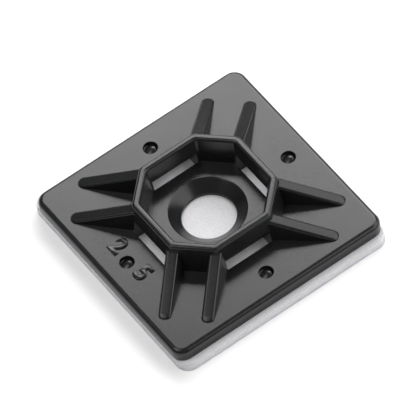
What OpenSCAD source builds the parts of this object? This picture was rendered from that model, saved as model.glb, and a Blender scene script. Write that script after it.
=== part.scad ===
// Four-way adhesive cable tie mount with a countersunk screw hole.
// Millimetres. The origin is the bottom centre, under the axis of the screw hole, and +Z is up.
// From the bottom up: release liner, foam pad, moulded body.

/* [Plate] */
// Length of each side of the square plate
plate_side = 28; // [25:0.5:36]
// Thickness of the plate
plate_t = 1.6; // [1.4:0.1:2.4]
// Radius of the plate's corners, seen from above
plate_corner_r = 1.5; // [0.8:0.1:3]
// Radius of the round along the plate's top edge
plate_edge_r = 0.5; // [0.2:0.05:0.6]

/* [Collar] */
// Width of the rim across the flats that face the plate's sides
collar_side_w = 14.6; // [13.6:0.1:15.6]
// Width of the rim across the flats that face the plate's corners
collar_corner_w = 15.5; // [14.8:0.1:16.5]
// Height of the rim above the plate
collar_h = 3.5; // [3:0.1:5]
// Width of the rim's top before its edges are bevelled
rim_w = 0.85; // [0.7:0.05:1.2]
// Bevel along the inner and outer edge of the rim
rim_bevel = 0.24; // [0.1:0.02:0.3]
// How much farther out the outer face stands at the plate than at the rim
outer_lean = 0.6; // [0.1:0.05:0.8]
// How much farther in the inner face stands at the floor than at the rim
inner_lean = 0.4; // [0.1:0.05:0.6]

/* [Tie slots] */
// Width of each slot, for the widest tie
slot_w = 6; // [4.5:0.1:6.2]
// Clear height of each slot from the plate's top to the bar over it
slot_h = 1.4; // [1.2:0.1:2.2]
// How far each slot's window in the plate runs out past the collar
window_out = 0.15; // [0.1:0.05:0.8]
// How far each slot's window in the plate runs in past the collar
window_in = 0.1; // [0.05:0.01:0.8]

/* [Screw hole] */
// Diameter of the screw hole
hole_d = 6.2; // [4:0.1:7]
// Diameter of the countersink at the plate's top
sink_d = 8.7; // [7.6:0.1:10.5]
// Depth of the straight hole under the countersink
hole_land = 0.4; // [0.3:0.1:0.9]

/* [Ribs] */
// Distance of each rib's centre line from the plate's diagonal
rib_offset = 2.4; // [2:0.05:2.8]
// Distance of the ribs' tips from the centre, along the diagonal
rib_reach = 15.1; // [13:0.1:16.5]
// Height of the ribs above the plate at the collar
rib_root_h = 2.7; // [2:0.1:2.9]
// Height of the ribs above the plate just before their rounded tips
rib_tip_h = 0.35; // [0.2:0.05:0.8]
// Width of the ribs at the plate, next to the collar
rib_root_w = 2.2; // [1.6:0.1:2.4]
// Width of the ribs at the plate, at their rounded tips
rib_tip_w = 1.5; // [1:0.1:1.6]
// Width of the ribs along their top
rib_top_w = 1.4; // [0.8:0.05:1.5]
// Bevel along both edges of the ribs' top
rib_bevel = 0.25; // [0.1:0.05:0.35]

/* [Ejector marks] */
// Diameter of the four round ejector marks
mark_d = 1.65; // [1:0.05:2]
// Depth of the ejector marks
mark_depth = 0.5; // [0.2:0.1:0.9]
// Distance of the ejector marks' centres from the plate's edge
mark_inset = 3; // [2:0.1:3.2]

/* [Foam pad] */
// Thickness of the foam pad
foam_t = 1; // [0.6:0.1:2]
// How far the pad runs past the plate at its front and back
foam_over = 0.8; // [0:0.1:1.5]
// Radius of the pad's corners, seen from above
foam_corner_r = 1.6; // [0.5:0.1:3]

/* [Release liner] */
// Thickness of the release liner
liner_t = 0.15; // [0.1:0.01:0.3]

/* [Hidden] */

foam_z = liner_t;
plate_z = foam_z + foam_t;

pad_x = plate_side;
pad_y = plate_side + 2 * foam_over;

// Half widths of the collar's faces across its side flats and its corner flats
outer_top = [collar_side_w / 2, collar_corner_w / 2];
outer_base = [for (half = outer_top) half + outer_lean];
inner_top = [for (half = outer_top) half - rim_w];
inner_base = [for (half = inner_top) half - inner_lean];

// The ribs start inside the collar's wall, and reach down into the plate
rib_root = inner_top[1] + 0.05;
rib_sunk = 0.2;
mark_r = plate_side / 2 - mark_inset;
clear = 0.1;
body_color = "#2b2c2e";
foam_color = "#ececf0";
liner_color = "#d8e4f0";

// A flat rectangle with round corners
module rounded_rect(x, y, r) {
    square([x - 2 * r, y], center = true);
    square([x, y - 2 * r], center = true);
    for (sx = [-1, 1], sy = [-1, 1])
        translate([sx * (x / 2 - r), sy * (y / 2 - r)])
            circle(r, $fn = 48);
}

// One corner of the plate: a post with a rounded top edge
module corner_post() {
    rotate_extrude($fn = 32) {
        square([plate_corner_r - plate_edge_r, plate_t]);
        square([plate_corner_r, plate_t - plate_edge_r]);
        translate([plate_corner_r - plate_edge_r, plate_t - plate_edge_r])
            intersection() {
                circle(plate_edge_r, $fn = 32);
                square(plate_edge_r);
            }
    }
}

module plate() {
    reach = plate_side / 2 - plate_corner_r;
    hull()
        for (sx = [-1, 1], sy = [-1, 1])
            translate([sx * reach, sy * reach, 0])
                corner_post();
}

// A square block whose four sides lean, from half width "base" to half width "top"
module leaning_block(base, top, h) {
    linear_extrude(height = h, scale = top / base)
        square(2 * base, center = true);
}

// An eight-sided block with leaning sides: [across side flats, across corner flats] / 2
module octagon_block(base, top, h) {
    intersection() {
        leaning_block(base[0], top[0], h);
        rotate([0, 0, 45])
            leaning_block(base[1], top[1], h);
    }
}

// Half widths "run" mm farther out than those in "half"
function grown(half, run) = [for (each_half = half) each_half + run];

module collar_outside() {
    wall_h = collar_h - rim_bevel;
    shoulder = grown(outer_top, outer_lean * rim_bevel / collar_h);
    octagon_block(outer_base, shoulder, wall_h);
    translate([0, 0, wall_h])
        octagon_block(shoulder, grown(outer_top, -rim_bevel), rim_bevel);
}

module collar_inside() {
    wall_h = collar_h - rim_bevel;
    shoulder = grown(inner_top, -inner_lean * rim_bevel / collar_h);
    octagon_block(inner_base, shoulder, wall_h);
    // The bevel runs on above the rim, so that it opens cleanly
    slope = (inner_top[0] + rim_bevel - shoulder[0]) / rim_bevel;
    translate([0, 0, wall_h])
        octagon_block(shoulder, grown(shoulder, slope * 2 * rim_bevel), 2 * rim_bevel);
}

// A window through the plate and a slot through the collar's wall, in one straight cut from below
module tie_slot() {
    near = inner_base[0] - window_in;
    far = outer_base[0] + window_out;
    translate([near, -slot_w / 2, -clear])
        cube([far - near, slot_w, clear + plate_t + slot_h]);
}

// One rib along +X: its sides lean in, its top slopes down, and its tip is round
module rib() {
    nose = rib_tip_w / 2;
    full_h = rib_root_h + rib_sunk;
    fall = atan2(rib_root_h - rib_tip_h, rib_reach - nose - outer_top[1]);
    flat = rib_top_w / 2 - rib_bevel;
    intersection() {
        linear_extrude(height = full_h, scale = [1, rib_top_w / rib_root_w]) {
            polygon([
                [rib_root, -rib_root_w / 2],
                [rib_reach - nose, -nose],
                [rib_reach - nose, nose],
                [rib_root, rib_root_w / 2]
            ]);
            translate([rib_reach - nose, 0])
                circle(nose, $fn = 24);
        }
        // The sloping top: a long roof shape with a bevel along each side
        translate([outer_top[1], 0, full_h])
            rotate([0, fall, 0])
                rotate([90, 0, 90])
                    translate([0, 0, -rib_root_w])
                        linear_extrude(height = rib_reach)
                            polygon([
                                [-rib_root_w, -2 * full_h],
                                [-rib_root_w, flat - rib_root_w],
                                [-flat, 0],
                                [flat, 0],
                                [rib_root_w, flat - rib_root_w],
                                [rib_root_w, -2 * full_h]
                            ]);
    }
}

// The ejector mark's floor is a shallow dome, higher in the middle
module ejector_mark() {
    difference() {
        translate([0, 0, -mark_depth])
            cylinder(d = mark_d, h = mark_depth + clear, $fn = 32);
        translate([0, 0, -mark_depth - mark_d])
            sphere(r = mark_d + mark_depth / 4, $fn = 48);
    }
}

module screw_hole() {
    sink_h = plate_t - hole_land;
    translate([0, 0, -clear])
        cylinder(d = hole_d, h = plate_t + 2 * clear, $fn = 64);
    translate([0, 0, hole_land])
        cylinder(d1 = hole_d, d2 = sink_d, h = sink_h, $fn = 64);
    translate([0, 0, plate_t])
        cylinder(d = sink_d, h = clear, $fn = 64);
}

module mount_body() {
    color(body_color)
        translate([0, 0, plate_z])
            difference() {
                union() {
                    plate();
                    translate([0, 0, plate_t])
                        collar_outside();
                    for (corner = [45:90:315], side = [-1, 1])
                        rotate([0, 0, corner])
                            translate([0, side * rib_offset, plate_t - rib_sunk])
                                rib();
                }
                translate([0, 0, plate_t])
                    collar_inside();
                for (side = [0:90:270])
                    rotate([0, 0, side]) {
                        tie_slot();
                        translate([mark_r, 0, plate_t])
                            ejector_mark();
                    }
                screw_hole();
            }
}

module foam_pad() {
    color(foam_color)
        translate([0, 0, foam_z])
            linear_extrude(height = foam_t)
                rounded_rect(pad_x, pad_y, foam_corner_r);
}

module release_liner() {
    color(liner_color)
        linear_extrude(height = liner_t)
            rounded_rect(pad_x, pad_y, foam_corner_r);
}

mount_body();
foam_pad();
release_liner();
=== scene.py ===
"""Four-way adhesive cable tie mount: moulded body, foam pad, release liner and studio."""

import math

import bmesh
import bpy
from bpy.props import FloatProperty, FloatVectorProperty, PointerProperty, StringProperty
from bpy.types import Operator, Panel, PropertyGroup
from mathutils import Matrix, Vector, noise


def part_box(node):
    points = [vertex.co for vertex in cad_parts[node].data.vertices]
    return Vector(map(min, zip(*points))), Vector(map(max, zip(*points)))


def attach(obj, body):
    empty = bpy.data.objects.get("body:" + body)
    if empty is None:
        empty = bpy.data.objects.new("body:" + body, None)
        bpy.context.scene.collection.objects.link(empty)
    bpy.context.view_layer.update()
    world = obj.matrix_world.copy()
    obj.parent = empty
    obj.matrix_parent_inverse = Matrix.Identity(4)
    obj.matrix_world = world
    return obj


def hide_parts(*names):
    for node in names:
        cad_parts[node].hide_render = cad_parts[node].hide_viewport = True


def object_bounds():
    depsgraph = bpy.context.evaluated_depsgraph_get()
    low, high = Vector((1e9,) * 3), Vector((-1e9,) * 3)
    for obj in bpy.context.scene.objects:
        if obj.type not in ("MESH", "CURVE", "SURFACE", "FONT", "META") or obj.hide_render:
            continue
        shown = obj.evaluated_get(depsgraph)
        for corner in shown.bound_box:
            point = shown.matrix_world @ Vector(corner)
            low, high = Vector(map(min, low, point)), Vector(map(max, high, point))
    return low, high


bl_info = {
    "name": "Cable Tie Mount",
    "version": (1, 0, 0),
    "blender": (4, 5, 0),
    "location": "3D View > Sidebar > Tie Mount",
    "description": "Models an adhesive cable tie mount with its foam pad and release liner",
    "category": "Object",
}

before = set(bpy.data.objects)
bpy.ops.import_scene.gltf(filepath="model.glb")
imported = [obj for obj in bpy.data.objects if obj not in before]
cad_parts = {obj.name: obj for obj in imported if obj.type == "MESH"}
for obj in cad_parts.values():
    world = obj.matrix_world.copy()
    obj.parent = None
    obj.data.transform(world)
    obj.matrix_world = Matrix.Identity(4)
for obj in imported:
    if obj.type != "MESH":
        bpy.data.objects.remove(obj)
cad_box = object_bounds()

MM = 0.001
MERGE = 0.0005 * MM  # points closer than this become one
NEAR = 0.01 * MM  # places closer than this count as the same
BODY_LOW, BODY_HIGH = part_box("mount_body")
PAD_LOW, PAD_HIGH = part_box("foam_pad")
LINER_LOW, LINER_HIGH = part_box("release_liner")


# ---------------------------------------------------------------- Sizes and colours


class MountBodySizes(PropertyGroup):
    """Sizes of the moulded plate and collar"""

    plate_t: FloatProperty(
        name="Plate Thickness",
        description="From the foam up to the plate's top",
        default=1.6 * MM,
        unit="LENGTH",
    )
    corner_r: FloatProperty(
        name="Plate Corner Radius",
        description="Radius of the plate's corners, seen from above",
        default=1.5 * MM,
        unit="LENGTH",
    )
    plate_edge_r: FloatProperty(
        name="Plate Edge Radius",
        description="Round along the plate's top edge",
        default=0.6 * MM,
        unit="LENGTH",
    )
    side_w: FloatProperty(
        name="Rim Across Sides",
        description="Width of the rim across the flats that face the plate's sides",
        default=14.6 * MM,
        unit="LENGTH",
    )
    corner_w: FloatProperty(
        name="Rim Across Corners",
        description="Width of the rim across the flats that face the plate's corners",
        default=15.5 * MM,
        unit="LENGTH",
    )
    rim_w: FloatProperty(
        name="Rim Width",
        description="Thickness of the collar's wall at the rim",
        default=0.85 * MM,
        unit="LENGTH",
    )
    rim_round: FloatProperty(
        name="Rim Edge Radius",
        description="Round along both edges of the rim",
        default=0.31 * MM,
        unit="LENGTH",
    )
    wall_round: FloatProperty(
        name="Collar Corner Radius",
        description="Round of the collar's eight upright corners",
        default=0.25 * MM,
        unit="LENGTH",
    )
    outer_lean: FloatProperty(
        name="Outer Lean",
        description="How much farther out the collar stands at the plate than at the rim",
        default=0.6 * MM,
        unit="LENGTH",
    )
    inner_lean: FloatProperty(
        name="Inner Lean",
        description="How much farther in the collar's inside stands at the floor than at the rim",
        default=0.4 * MM,
        unit="LENGTH",
    )
    slot_w: FloatProperty(
        name="Slot Width", description="Width of each tie slot", default=6 * MM, unit="LENGTH"
    )
    slot_h: FloatProperty(
        name="Slot Height",
        description="Clear height from the plate's top to the bar over the slot",
        default=1.4 * MM,
        unit="LENGTH",
    )
    window_out: FloatProperty(
        name="Window Outside",
        description="How far each window in the plate runs out past the collar",
        default=0.15 * MM,
        unit="LENGTH",
    )
    window_in: FloatProperty(
        name="Window Inside",
        description="How far each window in the plate runs in past the collar",
        default=0.1 * MM,
        unit="LENGTH",
    )
    hole_d: FloatProperty(
        name="Screw Hole", description="Diameter of the screw hole", default=6.2 * MM, unit="LENGTH"
    )
    sink_d: FloatProperty(
        name="Countersink",
        description="Diameter of the countersink at the plate's top",
        default=8.7 * MM,
        unit="LENGTH",
    )
    hole_land: FloatProperty(
        name="Hole Land",
        description="Depth of the straight hole under the countersink",
        default=0.4 * MM,
        unit="LENGTH",
    )
    edge_break: FloatProperty(
        name="Small Edge Radius",
        description="Round of the slots, the countersink's lip and the plate's lower edge",
        default=0.08 * MM,
        unit="LENGTH",
    )


class RibSizes(PropertyGroup):
    """Sizes of the eight ribs"""

    offset: FloatProperty(
        name="Offset",
        description="Distance of each rib's centre line from the plate's diagonal",
        default=2.4 * MM,
        unit="LENGTH",
    )
    reach: FloatProperty(
        name="Reach",
        description="Distance of the tips from the centre, along the diagonal",
        default=15.1 * MM,
        unit="LENGTH",
    )
    root_h: FloatProperty(
        name="Root Height",
        description="Height above the plate at the collar",
        default=2.7 * MM,
        unit="LENGTH",
    )
    tip_h: FloatProperty(
        name="Tip Height",
        description="Height above the plate just before the rounded tip",
        default=0.35 * MM,
        unit="LENGTH",
    )
    root_w: FloatProperty(
        name="Root Width",
        description="Width at the plate, next to the collar",
        default=2.2 * MM,
        unit="LENGTH",
    )
    tip_w: FloatProperty(
        name="Tip Width",
        description="Width at the plate, at the rounded tip",
        default=1.5 * MM,
        unit="LENGTH",
    )
    top_w: FloatProperty(
        name="Top Width", description="Width along the top", default=1.4 * MM, unit="LENGTH"
    )
    edge_r: FloatProperty(
        name="Edge Radius",
        description="Round along both edges of the top",
        default=0.48 * MM,
        unit="LENGTH",
    )


class MarkSizes(PropertyGroup):
    """Ejector marks, and the plain numbers on both sides of one of them"""

    mark_d: FloatProperty(
        name="Mark Diameter", description="Diameter of the ejector marks", default=1.65 * MM, unit="LENGTH"
    )
    mark_depth: FloatProperty(
        name="Mark Depth", description="Depth of the ejector marks", default=0.5 * MM, unit="LENGTH"
    )
    mark_inset: FloatProperty(
        name="Mark Inset",
        description="Distance of the marks' centres from the plate's edge",
        default=3 * MM,
        unit="LENGTH",
    )
    first: StringProperty(name="First Number", description="Number on one side of the mark", default="2")
    second: StringProperty(name="Second Number", description="Number on the other side", default="5")
    number_h: FloatProperty(
        name="Number Height", description="Height of each number", default=2.3 * MM, unit="LENGTH"
    )
    number_aside: FloatProperty(
        name="Number Offset",
        description="Distance of each number from the mark, to the side",
        default=2.35 * MM,
        unit="LENGTH",
    )
    number_rise: FloatProperty(
        name="Number Relief", description="How far the numbers stand proud", default=0.16 * MM, unit="LENGTH"
    )


class PadSizes(PropertyGroup):
    """Foam pad and release liner"""

    corner_r: FloatProperty(
        name="Corner Radius",
        description="Radius of the pad's and the liner's corners",
        default=1.6 * MM,
        unit="LENGTH",
    )
    foam_rag: FloatProperty(
        name="Foam Raggedness",
        description="How deep the cut edge of the foam is torn",
        default=0.12 * MM,
        unit="LENGTH",
    )
    paper_rag: FloatProperty(
        name="Paper Raggedness",
        description="How far the liner's cut edge wanders",
        default=0.05 * MM,
        unit="LENGTH",
    )


class Finishes(PropertyGroup):
    """Colours of the three materials"""

    nylon: FloatVectorProperty(
        name="Nylon",
        description="Colour of the moulded body",
        default=(0.0135, 0.014, 0.015),
        min=0,
        max=1,
        subtype="COLOR",
    )
    foam: FloatVectorProperty(
        name="Foam",
        description="Colour of the foam pad",
        default=(0.965, 0.95, 0.975),
        min=0,
        max=1,
        subtype="COLOR",
    )
    paper_edge: FloatVectorProperty(
        name="Paper Edge",
        description="Colour of the liner's cut edge",
        default=(0.84, 0.86, 0.88),
        min=0,
        max=1,
        subtype="COLOR",
    )
    paper: FloatVectorProperty(
        name="Release Paper",
        description="Colour of the liner",
        default=(0.69, 0.78, 0.87),
        min=0,
        max=1,
        subtype="COLOR",
    )


# ---------------------------------------------------------------- Mesh helpers


def piece_from(bm, name):
    """A new object at the origin that holds the bmesh."""
    mesh = bpy.data.meshes.new(name)
    bm.to_mesh(mesh)
    bm.free()
    piece = bpy.data.objects.new(name, mesh)
    bpy.context.scene.collection.objects.link(piece)
    return piece


def evaluated_mesh(obj):
    """What an object shows, as a mesh of its own."""
    bpy.context.view_layer.update()
    graph = bpy.context.evaluated_depsgraph_get()
    return bpy.data.meshes.new_from_object(obj.evaluated_get(graph))


def combine(piece, tools, operation):
    """Join the tools to the piece or cut them out of it, and delete them."""
    for tool in tools:
        step = piece.modifiers.new(operation.title(), "BOOLEAN")
        step.operation = operation
        step.solver = "MANIFOLD"
        step.object = tool
        plain = piece.data
        piece.data = evaluated_mesh(piece)
        piece.modifiers.clear()
        if not piece.data.polygons:
            raise RuntimeError(f"Nothing is left of {piece.name} after {operation.lower()} with {tool.name}")
        bpy.data.meshes.remove(plain)
        bpy.data.objects.remove(tool)


def round_off(bm, geom, radius, segments, affect="EDGES", clamp=True):
    """Round edges of a bmesh, or corners of a flat outline."""
    bmesh.ops.bevel(
        bm,
        geom=list(geom),
        offset=radius,
        offset_type="OFFSET",
        affect=affect,
        segments=segments,
        profile=0.5,
        material=-1,
        clamp_overlap=clamp,
    )


def upright(edge):
    """True for an edge that runs mostly up and down."""
    run = edge.verts[1].co - edge.verts[0].co
    return abs(run.z) > 0.8 * run.length


def at_height(edge, z):
    """True for an edge that lies at the height."""
    return all(abs(vert.co.z - z) < NEAR for vert in edge.verts)


def quarter_turn(count):
    """Rotation about Z by a number of quarter turns."""
    return Matrix.Rotation(count * math.pi / 2, 3, "Z")


def block(low, high):
    """A bmesh box from its lowest to its highest corner."""
    bm = bmesh.new()
    bmesh.ops.create_cube(bm, size=1)
    bmesh.ops.scale(bm, vec=Vector(high) - Vector(low), verts=bm.verts)
    bmesh.ops.translate(bm, vec=(Vector(low) + Vector(high)) / 2, verts=bm.verts)
    return bm


def turned(profile, steps, lip, lip_r):
    """A bmesh solid spun round Z from (radius, height) points, with one point rounded."""
    bm = bmesh.new()
    line = [bm.verts.new((radius, 0, height)) for radius, height in profile]
    for start, end in zip(line, line[1:]):
        bm.edges.new((start, end))
    round_off(bm, [line[lip]], lip_r, 5, affect="VERTICES")
    bmesh.ops.spin(
        bm,
        geom=bm.verts[:] + bm.edges[:],
        cent=(0, 0, 0),
        axis=(0, 0, 1),
        angle=2 * math.pi,
        steps=steps,
        use_merge=True,
        use_duplicate=False,
    )
    bmesh.ops.remove_doubles(bm, verts=bm.verts, dist=2 * MERGE)
    bmesh.ops.recalc_face_normals(bm, faces=bm.faces)
    return bm


def smooth_by_angle(piece, degrees):
    """Smooth shading, broken at edges sharper than the angle and weighted by face area."""
    bm = bmesh.new()
    bm.from_mesh(piece.data)
    bmesh.ops.remove_doubles(bm, verts=bm.verts, dist=MERGE)
    bmesh.ops.dissolve_degenerate(bm, edges=bm.edges, dist=MERGE)
    bmesh.ops.recalc_face_normals(bm, faces=bm.faces)
    for face in bm.faces:
        face.smooth = True
    for edge in bm.edges:
        edge.smooth = edge.is_manifold and edge.calc_face_angle() < math.radians(degrees)
    bm.to_mesh(piece.data)
    bm.free()
    weigh = piece.modifiers.new("Weighted Normal", "WEIGHTED_NORMAL")
    weigh.keep_sharp = True
    weigh.weight = 80


# ---------------------------------------------------------------- Moulded body


def octagon(bm, side_half, corner_half, z):
    """The closed ring of edges of a collar outline, from its half widths across the flats."""
    cut = corner_half * math.sqrt(2) - side_half
    corners = []
    for quarter in range(4):
        for y in (-cut, cut):
            corners.append(bm.verts.new(quarter_turn(quarter) @ Vector((side_half, y, z))))
    return [bm.edges.new(ends) for ends in zip(corners, corners[1:] + corners[:1])]


def plate_mesh(sizes, plate_top):
    """The square plate with round corners and soft edges."""
    bm = block(BODY_LOW, (BODY_HIGH.x, BODY_HIGH.y, plate_top))
    round_off(bm, [e for e in bm.edges if upright(e)], sizes.corner_r, 12)
    round_off(bm, [e for e in bm.edges if at_height(e, plate_top)], sizes.plate_edge_r, 7)
    round_off(bm, [e for e in bm.edges if at_height(e, BODY_LOW.z)], sizes.edge_break, 2)
    return bm


def collar_mesh(sizes, plate_top):
    """The leaning eight-sided wall, a closed ring that reaches down into the plate."""
    rim_top = BODY_HIGH.z
    foot = plate_top - 0.3 * MM
    bm = bmesh.new()
    rings = []
    for z, inside in ((foot, False), (rim_top, False), (rim_top, True), (foot, True)):
        fall = (rim_top - z) / (rim_top - plate_top)
        run = -sizes.rim_w - sizes.inner_lean * fall if inside else sizes.outer_lean * fall
        rings.append(octagon(bm, sizes.side_w / 2 + run, sizes.corner_w / 2 + run, z))
    for ring, following in zip(rings, rings[1:] + rings[:1]):
        bmesh.ops.bridge_loops(bm, edges=ring + following)
    bmesh.ops.recalc_face_normals(bm, faces=bm.faces)
    round_off(bm, [e for e in bm.edges if upright(e)], sizes.wall_round, 4)
    rim = [
        e for e in bm.edges if at_height(e, rim_top) and any(abs(f.normal.z) < 0.7 for f in e.link_faces)
    ]
    round_off(bm, rim, sizes.rim_round, 6, clamp=False)
    return bm


def rib_mesh(rib, start, fall_from, plate_top):
    """One rib along +X, from inside the collar's wall out to its round tip."""
    sunk = 0.2 * MM
    nose = rib.tip_w / 2
    full_h = rib.root_h + sunk
    bm = block((start, -1 * MM, 0), (rib.reach, 1 * MM, full_h))
    for x in (fall_from, rib.reach - nose):
        geom = bm.verts[:] + bm.edges[:] + bm.faces[:]
        bmesh.ops.bisect_plane(bm, geom=geom, plane_co=(x, 0, 0), plane_no=(1, 0, 0), dist=0.001 * MM)
    for vert in bm.verts:
        along = max(0.0, (vert.co.x - fall_from) / (rib.reach - nose - fall_from))
        if vert.co.z > 0:
            vert.co.z = full_h - along * (rib.root_h - rib.tip_h)
        half = (rib.root_w + (rib.tip_w - rib.root_w) * min(along, 1.0)) / 2
        draft = 1 + (rib.top_w / rib.root_w - 1) * vert.co.z / full_h
        vert.co.y = math.copysign(half * draft, vert.co.y)
    tip = [e for e in bm.edges if upright(e) and e.verts[0].co.x > rib.reach - NEAR]
    round_off(bm, tip, 0.9 * nose, 8)
    bm.normal_update()
    top = [
        e
        for e in bm.edges
        if e.calc_face_angle(0) > math.radians(35)
        and min(v.co.z for v in e.verts) > sunk / 2
        and max(v.co.x for v in e.verts) > start + NEAR
        and not upright(e)
    ]
    round_off(bm, top, rib.edge_r, 5)
    bmesh.ops.translate(bm, vec=(0, 0, plate_top - sunk), verts=bm.verts)
    return bm


def ribs(rib, sizes, plate_top):
    """Two ribs for each corner of the plate."""
    made = []
    for corner in range(4):
        for side in (-1, 1):
            bm = rib_mesh(rib, (sizes.corner_w - sizes.rim_w) / 2, sizes.corner_w / 2, plate_top)
            bmesh.ops.translate(bm, vec=(0, side * rib.offset, 0), verts=bm.verts)
            bmesh.ops.rotate(bm, cent=(0, 0, 0), matrix=quarter_turn(corner + 0.5), verts=bm.verts)
            made.append(piece_from(bm, "rib"))
    return made


def slot_cutters(sizes, plate_top):
    """Straight cuts from below, through the plate and the foot of each long wall."""
    near = sizes.side_w / 2 - sizes.rim_w - sizes.inner_lean - sizes.window_in
    far = sizes.side_w / 2 + sizes.outer_lean + sizes.window_out
    made = []
    for quarter in range(4):
        low = (near, -sizes.slot_w / 2, BODY_LOW.z - 1 * MM)
        bm = block(low, (far, sizes.slot_w / 2, plate_top + sizes.slot_h))
        round_off(bm, bm.edges, sizes.edge_break, 2)
        bmesh.ops.rotate(bm, cent=(0, 0, 0), matrix=quarter_turn(quarter), verts=bm.verts)
        made.append(piece_from(bm, "slot_cutter"))
    return made


def screw_cutter(sizes, plate_top):
    """The straight hole, its countersink and the soft lip at the plate's top."""
    hole_r, sink_r, lip = sizes.hole_d / 2, sizes.sink_d / 2, sizes.edge_break
    profile = [
        (0, BODY_LOW.z - 1 * MM),
        (hole_r, BODY_LOW.z - 1 * MM),
        (hole_r, BODY_LOW.z + sizes.hole_land),
        (sink_r, plate_top - lip),
        (sink_r + 3 * lip, plate_top + lip),
        (sink_r + 3 * lip, plate_top + 1 * MM),
        (0, plate_top + 1 * MM),
    ]
    return piece_from(turned(profile, 96, 3, lip), "screw_cutter")


def mark_cutters(marks, plate_top):
    """Ejector marks: round wells whose floor is a worn dome, a little off centre."""
    mark_r, depth = marks.mark_d / 2, marks.mark_depth
    lip = 0.05 * MM
    dome_shift = 0.36 * mark_r
    # The dome's outline: how far out in shares of the radius, how far down in shares of the depth
    dome = ((0, 0.45), (0.2, 0.48), (0.4, 0.58), (0.6, 0.75), (0.8, 0.97), (0.93, 1.1))
    profile = [(mark_r * out, plate_top - depth * down) for out, down in dome]
    profile += [
        (mark_r, plate_top - depth),
        (mark_r, plate_top - lip),
        (mark_r + 2 * lip, plate_top + lip),
        (mark_r + 2 * lip, plate_top + 1 * MM),
        (0, plate_top + 1 * MM),
    ]
    made = []
    for quarter in range(4):
        bm = turned(profile, 48, len(dome) + 1, lip)
        for vert in bm.verts:
            if vert.co.z < plate_top - 0.3 * depth:
                out = min(math.hypot(vert.co.x, vert.co.y) / mark_r, 1)
                vert.co.x += dome_shift * (1 - out**2)
        place = quarter_turn(quarter) @ Vector((BODY_HIGH.x - marks.mark_inset, 0, 0))
        bmesh.ops.translate(bm, vec=place, verts=bm.verts)
        made.append(piece_from(bm, "mark_cutter"))
    return made


def raised_number(marks, text, aside, plate_top):
    """A raised number with sloping sides, its top towards the collar."""
    slope_share = 0.8
    digit_share = 0.78
    font = bpy.data.curves.new("number", "FONT")
    font.body = text
    font.align_x, font.align_y = "CENTER", "CENTER"
    font.size = marks.number_h / digit_share
    font.extrude = marks.number_rise * (1 - slope_share)
    font.bevel_depth = marks.number_rise * slope_share
    font.bevel_resolution = 1
    font.offset = 0.02 * MM
    carrier = bpy.data.objects.new("number", font)
    bpy.context.scene.collection.objects.link(carrier)
    mesh = evaluated_mesh(carrier)
    bpy.data.objects.remove(carrier)
    bpy.data.curves.remove(font)
    inwards = 0.45 * MM
    place = Vector((BODY_LOW.x + marks.mark_inset + inwards, aside, plate_top))
    mesh.transform(Matrix.Translation(place) @ Matrix.Rotation(-math.pi / 2, 4, "Z"))
    bm = bmesh.new()
    bm.from_mesh(mesh)
    bpy.data.meshes.remove(mesh)
    bmesh.ops.remove_doubles(bm, verts=bm.verts, dist=MERGE)
    bmesh.ops.recalc_face_normals(bm, faces=bm.faces)
    return piece_from(bm, "number")


class MOUNT_OT_add_body(Operator):
    """Model the black moulding with its collar, ribs, slots, hole, marks and numbers"""

    bl_idname = "tie_mount.add_body"
    bl_label = "Moulded Body"
    bl_options = {"REGISTER", "UNDO"}

    def execute(self, context):
        sizes = context.scene.tie_mount_body
        marks = context.scene.tie_mount_marks
        plate_top = BODY_LOW.z + sizes.plate_t
        body = piece_from(plate_mesh(sizes, plate_top), "finished_body")
        additions = [piece_from(collar_mesh(sizes, plate_top), "collar")]
        additions += ribs(context.scene.tie_mount_ribs, sizes, plate_top)
        for text, aside in ((marks.first, marks.number_aside), (marks.second, -marks.number_aside)):
            additions.append(raised_number(marks, text, aside, plate_top))
        combine(body, additions, "UNION")
        cutters = slot_cutters(sizes, plate_top) + mark_cutters(marks, plate_top)
        cutters.append(screw_cutter(sizes, plate_top))
        combine(body, cutters, "DIFFERENCE")
        smooth_by_angle(body, degrees=32)
        body.data.materials.clear()
        body.data.materials.append(moulded_nylon(context.scene.tie_mount_finishes))
        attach(body, "root")
        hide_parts("mount_body")
        return {"FINISHED"}


# ---------------------------------------------------------------- Foam pad and liner


def cut_slab(low, high, corner_r, step, layers):
    """A slab with round corners, whose cut edge is divided into small faces about a step long."""
    bm = block(low, high)
    round_off(bm, [e for e in bm.edges if upright(e)], corner_r, 14)
    # The top and bottom come off while the edge is divided, and are filled in again after it
    caps = [f for f in bm.faces if abs(f.normal.z) > 0.9]
    bmesh.ops.delete(bm, geom=caps, context="FACES_ONLY")
    straights = [e for e in bm.edges if not upright(e) and e.calc_length() > 10 * step]
    cuts = round((high.x - low.x - 2 * corner_r) / step)
    bmesh.ops.subdivide_edges(bm, edges=straights, cuts=cuts)
    bmesh.ops.subdivide_edges(bm, edges=[e for e in bm.edges if upright(e)], cuts=layers)
    rims = [e for e in bm.edges if e.is_boundary]
    bmesh.ops.holes_fill(bm, edges=rims, sides=0)
    bmesh.ops.recalc_face_normals(bm, faces=bm.faces)
    for steps_in in (1.4, 1.8):
        caps = [f for f in bm.faces if len(f.verts) > 20]
        bmesh.ops.inset_region(bm, faces=caps, thickness=steps_in * step, use_even_offset=True)
    return bm


def fray(bm, deepest, grain):
    """Push the slab's cut edge in by an uneven amount, never out."""
    bm.normal_update()
    moves = []
    for vert in bm.verts:
        level = Vector((vert.normal.x, vert.normal.y, 0))
        on_cut_edge = level.length > 0.3
        if on_cut_edge:
            # Torn lumps as large as the grain with finer ones on them, and a slow wander along the edge
            rough = noise.noise(vert.co / grain) + 0.6 * noise.noise(vert.co / grain * 2.7)
            wave = noise.noise(vert.co / (12 * grain))
            share = min(max(0.5 + 0.32 * rough + 0.35 * wave, 0), 1)
            moves.append((vert, -level.normalized() * deepest * share))
    for vert, move in moves:
        vert.co += move


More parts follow.
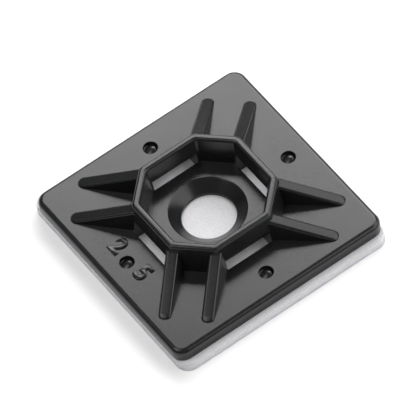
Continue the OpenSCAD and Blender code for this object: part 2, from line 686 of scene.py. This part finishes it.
class MOUNT_OT_add_pad(Operator):
    """Model the white foam pad with its rough cut edge"""

    bl_idname = "tie_mount.add_pad"
    bl_label = "Foam Pad"
    bl_options = {"REGISTER", "UNDO"}

    def execute(self, context):
        sizes = context.scene.tie_mount_pad
        bm = cut_slab(PAD_LOW, PAD_HIGH, sizes.corner_r, step=0.12 * MM, layers=8)
        fray(bm, sizes.foam_rag, grain=0.3 * MM)
        for face in bm.faces:
            face.smooth = True
        pad = piece_from(bm, "finished_pad")
        pad.data.materials.append(white_foam(context.scene.tie_mount_finishes))
        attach(pad, "root")
        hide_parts("foam_pad")
        return {"FINISHED"}


class MOUNT_OT_add_liner(Operator):
    """Model the pale blue release liner"""

    bl_idname = "tie_mount.add_liner"
    bl_label = "Release Liner"
    bl_options = {"REGISTER", "UNDO"}

    def execute(self, context):
        sizes = context.scene.tie_mount_pad
        bm = cut_slab(LINER_LOW, LINER_HIGH, sizes.corner_r, step=0.2 * MM, layers=1)
        fray(bm, sizes.paper_rag, grain=0.6 * MM)
        for face in bm.faces:
            on_cut_edge = abs(face.normal.z) < 0.5
            face.material_index = int(on_cut_edge)
        liner = piece_from(bm, "finished_liner")
        finishes = context.scene.tie_mount_finishes
        liner.data.materials.append(release_paper("release_paper", finishes.paper))
        liner.data.materials.append(release_paper("release_paper_edge", finishes.paper_edge))
        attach(liner, "root")
        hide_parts("release_liner")
        return {"FINISHED"}


# ---------------------------------------------------------------- Materials


def shared_group(name, numbers, output):
    """A new shader node group with named number inputs and one output."""
    group = bpy.data.node_groups.new(name, "ShaderNodeTree")
    for label, value in numbers:
        socket = group.interface.new_socket(label, in_out="INPUT", socket_type="NodeSocketFloat")
        socket.default_value = value
    group.interface.new_socket(output, in_out="OUTPUT", socket_type="NodeSocketFloat")
    return group, group.nodes.new("NodeGroupInput"), group.nodes.new("NodeGroupOutput")


def fine_grain():
    """Uneven fine grain between 0 and 1, from a coarse and a fine cloud."""
    name = "fine_grain"
    if name in bpy.data.node_groups:
        return bpy.data.node_groups[name]
    numbers = (("Coarse Scale", 400), ("Fine Scale", 4000), ("Fine Share", 0.5))
    group, given, result = shared_group(name, numbers, "Grain")
    nodes, links = group.nodes, group.links
    place = nodes.new("ShaderNodeTexCoord")
    coarse = nodes.new("ShaderNodeTexNoise")
    fine = nodes.new("ShaderNodeTexNoise")
    for cloud, label in ((coarse, "Coarse Scale"), (fine, "Fine Scale")):
        cloud.inputs["Detail"].default_value = 3
        links.new(place.outputs["Object"], cloud.inputs["Vector"])
        links.new(given.outputs[label], cloud.inputs["Scale"])
    blend = nodes.new("ShaderNodeMix")
    links.new(given.outputs["Fine Share"], blend.inputs["Factor"])
    links.new(coarse.outputs["Fac"], blend.inputs["A"])
    links.new(fine.outputs["Fac"], blend.inputs["B"])
    stretch = nodes.new("ShaderNodeMapRange")
    stretch.inputs["From Min"].default_value = 0.3
    stretch.inputs["From Max"].default_value = 0.7
    links.new(blend.outputs["Result"], stretch.inputs["Value"])
    links.new(stretch.outputs["Result"], result.inputs["Grain"])
    return group


def small_pits():
    """A mask of small round pits, 1 at the middle of each and 0 between them."""
    name = "small_pits"
    if name in bpy.data.node_groups:
        return bpy.data.node_groups[name]
    group, given, result = shared_group(name, (("Scale", 3000), ("Pit Size", 0.4)), "Pits")
    nodes, links = group.nodes, group.links
    place = nodes.new("ShaderNodeTexCoord")
    cells = nodes.new("ShaderNodeTexVoronoi")
    cells.feature = "F1"
    links.new(place.outputs["Object"], cells.inputs["Vector"])
    links.new(given.outputs["Scale"], cells.inputs["Scale"])
    fade = nodes.new("ShaderNodeMapRange")
    fade.inputs["To Min"].default_value = 1
    fade.inputs["To Max"].default_value = 0
    links.new(cells.outputs["Distance"], fade.inputs["Value"])
    links.new(given.outputs["Pit Size"], fade.inputs["From Max"])
    links.new(fade.outputs["Result"], result.inputs["Pits"])
    return group


class Finish:
    """A Principled material that is put together step by step."""

    def __init__(self, name, color, roughness):
        self.material = bpy.data.materials.new(name)
        self.material.use_nodes = True
        self.nodes = self.material.node_tree.nodes
        self.links = self.material.node_tree.links
        self.shader = self.nodes["Principled BSDF"]
        self.shader.inputs["Base Color"].default_value = (*color, 1)
        self.shader.inputs["Roughness"].default_value = roughness

    def effect(self, group, **values):
        """Place a shared node group with its own values, and give back its output."""
        node = self.nodes.new("ShaderNodeGroup")
        node.node_tree = group
        for label, value in values.items():
            node.inputs[label.replace("_", " ")].default_value = value
        return node.outputs[0]

    def ranged(self, value, low, high):
        """A 0 to 1 value stretched to run from low to high."""
        node = self.nodes.new("ShaderNodeMapRange")
        node.inputs["To Min"].default_value = low
        node.inputs["To Max"].default_value = high
        self.links.new(value, node.inputs["Value"])
        return node.outputs["Result"]

    def blended(self, factor, first, second):
        """A colour between two, by a 0 to 1 value."""
        node = self.nodes.new("ShaderNodeMix")
        node.data_type = "RGBA"
        colors = [socket for socket in node.inputs if socket.type == "RGBA"]
        colors[0].default_value = (*first, 1)
        colors[1].default_value = (*second, 1)
        self.links.new(factor, node.inputs["Factor"])
        return next(socket for socket in node.outputs if socket.type == "RGBA")

    def bumped(self, height, depth, strength=1.0, under=None):
        """A normal whose relief is depth high, laid over another bump if one is given."""
        node = self.nodes.new("ShaderNodeBump")
        node.inputs["Strength"].default_value = strength
        node.inputs["Distance"].default_value = depth
        self.links.new(height, node.inputs["Height"])
        if under is not None:
            self.links.new(under, node.inputs["Normal"])
        return node.outputs["Normal"]

    def feed(self, label, value):
        """Link an output to one of the shader's sockets."""
        self.links.new(value, self.shader.inputs[label])


def tinted(color, factor):
    """The colour made lighter or darker."""
    return tuple(min(channel * factor, 1) for channel in color)


def moulded_nylon(finishes):
    """Black satin plastic: slightly uneven gloss, a fine moulded grain and faint flow clouds."""
    color = tuple(finishes.nylon)
    finish = Finish("moulded_nylon", color, 0.22)
    clouds = finish.effect(fine_grain(), Coarse_Scale=160, Fine_Scale=1400, Fine_Share=0.35)
    grain = finish.effect(fine_grain(), Coarse_Scale=5200, Fine_Scale=12000, Fine_Share=0.4)
    finish.feed("Base Color", finish.blended(clouds, tinted(color, 0.88), tinted(color, 1.14)))
    finish.feed("Roughness", finish.ranged(clouds, 0.19, 0.26))
    finish.feed("Normal", finish.bumped(grain, 0.004 * MM, 0.5))
    return finish.material


def white_foam(finishes):
    """Closed-cell foam: matt, faintly mottled, with cut cells as small pits."""
    color = tuple(finishes.foam)
    finish = Finish("white_foam", color, 0.85)
    mottle = finish.effect(fine_grain(), Coarse_Scale=900, Fine_Scale=4200, Fine_Share=0.5)
    cells = finish.effect(small_pits(), Scale=4200, Pit_Size=0.55)
    finish.feed("Base Color", finish.blended(mottle, tinted(color, 0.93), tinted(color, 1.03)))
    cell_relief = finish.bumped(finish.ranged(cells, 1, 0), 0.05 * MM, 0.7)
    finish.feed("Normal", finish.bumped(mottle, 0.06 * MM, 0.6, under=cell_relief))
    return finish.material


def release_paper(name, color):
    """Pale blue coated paper: soft gloss, faint mottling, a few tiny pits and gentle waves."""
    finish = Finish(name, color, 0.42)
    mottle = finish.effect(fine_grain(), Coarse_Scale=220, Fine_Scale=5000, Fine_Share=0.3)
    waves = finish.effect(fine_grain(), Coarse_Scale=70, Fine_Scale=260, Fine_Share=0.25)
    pits = finish.effect(small_pits(), Scale=520, Pit_Size=0.09)
    finish.feed("Base Color", finish.blended(mottle, tinted(color, 0.96), tinted(color, 1.04)))
    finish.feed("Roughness", finish.ranged(mottle, 0.36, 0.5))
    wavy = finish.bumped(waves, 0.12 * MM, 0.5)
    finish.feed("Normal", finish.bumped(finish.ranged(pits, 1, 0), 0.05 * MM, 0.8, under=wavy))
    return finish.material


# ---------------------------------------------------------------- Stage


class StudioSettings(PropertyGroup):
    """Camera and lamps"""

    azimuth: FloatProperty(
        name="Camera Azimuth",
        description="Where the camera stands, from the front to the right",
        default=math.radians(-26.9),
        subtype="ANGLE",
    )
    elevation: FloatProperty(
        name="Camera Elevation",
        description="How high the camera stands",
        default=math.radians(53.8),
        subtype="ANGLE",
    )
    roll: FloatProperty(
        name="Camera Roll",
        description="How far the camera leans to one side",
        default=math.radians(10.8),
        subtype="ANGLE",
    )
    distance: FloatProperty(
        name="Camera Distance",
        description="From the camera to the middle of the mount",
        default=844 * MM,
        unit="LENGTH",
    )
    lens: FloatProperty(name="Lens", description="Focal length in millimetres", default=665)
    lamp_distance: FloatProperty(
        name="Softbox Distance",
        description="From the softboxes to the middle of the mount",
        default=260 * MM,
        unit="LENGTH",
    )
    ambient: FloatProperty(
        name="Ambient", description="Brightness of the light from all round", default=0.17, min=0
    )


# Each softbox: its azimuth and elevation, its width and height, and its brightness
SOFTBOXES = {
    "back_softbox": (math.radians(142), math.radians(41), 180 * MM, 150 * MM, 5.4),
    "side_softbox": (math.radians(100), math.radians(48), 130 * MM, 130 * MM, 1.8),
    "front_softbox": (math.radians(52), math.radians(33), 260 * MM, 190 * MM, 1.9),
    "left_softbox": (math.radians(-105), math.radians(58), 140 * MM, 140 * MM, 2.4),
}


def direction(azimuth, elevation):
    """Unit vector from the object towards a place seen at that azimuth and elevation."""
    level = math.cos(elevation)
    return Vector((math.sin(azimuth) * level, -math.cos(azimuth) * level, math.sin(elevation)))


def aim(obj, place, target, roll=0.0):
    """Put a lamp or camera at a place and turn it to a target."""
    look = (target - place).to_track_quat("-Z", "Y").to_matrix().to_4x4()
    obj.matrix_world = Matrix.Translation(place) @ look @ Matrix.Rotation(roll, 4, "Z")


def softbox(name, place, target, width, height, radiance):
    """A rectangular area lamp of even brightness."""
    lamp = bpy.data.lights.new(name, "AREA")
    lamp.shape = "RECTANGLE"
    lamp.size, lamp.size_y = width, height
    lamp.energy = radiance * math.pi * width * height
    box = bpy.data.objects.new(name, lamp)
    bpy.context.scene.collection.objects.link(box)
    aim(box, place, target)


def studio_world(ambient_level):
    """White behind everything for the camera, and an even dim light for the object."""
    world = bpy.data.worlds.new("studio")
    world.use_nodes = True
    nodes, links = world.node_tree.nodes, world.node_tree.links
    path = nodes.new("ShaderNodeLightPath")
    mix = nodes.new("ShaderNodeMixShader")
    backdrop = nodes.new("ShaderNodeBackground")
    ambient = nodes["Background"]
    for shader, strength in ((ambient, ambient_level), (backdrop, 1)):
        shader.inputs["Color"].default_value = (1, 1, 1, 1)
        shader.inputs["Strength"].default_value = strength
    links.new(path.outputs["Is Camera Ray"], mix.inputs["Fac"])
    links.new(ambient.outputs[0], mix.inputs[1])
    links.new(backdrop.outputs[0], mix.inputs[2])
    links.new(mix.outputs[0], nodes["World Output"].inputs["Surface"])
    return world


def floor_paint():
    """Floor that reads as white to the camera and in reflections, and keeps the shadow."""
    lift = 0.3
    paint = Finish("floor_paint", (0.9, 0.9, 0.9), 0.9)
    path = paint.nodes.new("ShaderNodeLightPath")
    seen = paint.nodes.new("ShaderNodeMath")
    seen.operation = "MAXIMUM"
    paint.links.new(path.outputs["Is Camera Ray"], seen.inputs[0])
    paint.links.new(path.outputs["Is Glossy Ray"], seen.inputs[1])
    paint.shader.inputs["Emission Color"].default_value = (1, 1, 1, 1)
    paint.feed("Emission Strength", paint.ranged(seen.outputs[0], 0, lift))
    return paint.material


class MOUNT_OT_add_stage(Operator):
    """Set up the floor, the softboxes, the world and the camera"""

    bl_idname = "tie_mount.add_stage"
    bl_label = "Studio"
    bl_options = {"REGISTER", "UNDO"}

    def execute(self, context):
        studio = context.scene.tie_mount_studio
        scene = context.scene
        scene.view_settings.view_transform = "Standard"
        low, high = cad_box
        centre = (low + high) / 2
        camera = bpy.data.objects.new("camera", bpy.data.cameras.new("camera"))
        scene.collection.objects.link(camera)
        camera.data.lens = studio.lens
        camera.data.clip_end = 10
        towards = direction(studio.azimuth, studio.elevation)
        aim(camera, centre + towards * studio.distance, centre, -studio.roll)
        scene.camera = camera

        bm = bmesh.new()
        bmesh.ops.create_grid(bm, x_segments=1, y_segments=1, size=3)
        gap_below = 0.02 * MM
        bmesh.ops.translate(bm, vec=(0, 0, low.z - gap_below), verts=bm.verts)
        floor = piece_from(bm, "floor")
        floor.data.materials.append(floor_paint())

        for name, (azimuth, elevation, width, height, radiance) in SOFTBOXES.items():
            place = centre + direction(azimuth, elevation) * studio.lamp_distance
            softbox(name, place, centre, width, height, radiance)
        scene.world = studio_world(studio.ambient)
        return {"FINISHED"}


# ---------------------------------------------------------------- Panel and registration


class MOUNT_PT_panel(Panel):
    """Buttons for each piece of the mount"""

    bl_label = "Cable Tie Mount"
    bl_idname = "MOUNT_PT_panel"
    bl_space_type = "VIEW_3D"
    bl_region_type = "UI"
    bl_category = "Tie Mount"

    def draw(self, context):
        for operator in (MOUNT_OT_add_body, MOUNT_OT_add_pad, MOUNT_OT_add_liner, MOUNT_OT_add_stage):
            self.layout.operator(operator.bl_idname)


SETTINGS = {
    "tie_mount_body": MountBodySizes,
    "tie_mount_ribs": RibSizes,
    "tie_mount_marks": MarkSizes,
    "tie_mount_pad": PadSizes,
    "tie_mount_finishes": Finishes,
    "tie_mount_studio": StudioSettings,
}
TOOLS = (MOUNT_OT_add_body, MOUNT_OT_add_pad, MOUNT_OT_add_liner, MOUNT_OT_add_stage, MOUNT_PT_panel)


def register():
    for cls in (*SETTINGS.values(), *TOOLS):
        bpy.utils.register_class(cls)
    for name, cls in SETTINGS.items():
        setattr(bpy.types.Scene, name, PointerProperty(type=cls))


def unregister():
    for name in SETTINGS:
        delattr(bpy.types.Scene, name)
    for cls in (*TOOLS, *SETTINGS.values()):
        bpy.utils.unregister_class(cls)


def main():
    register()
    bpy.ops.tie_mount.add_body()
    bpy.ops.tie_mount.add_pad()
    bpy.ops.tie_mount.add_liner()
    bpy.ops.tie_mount.add_stage()


if __name__ == "__main__":
    main()
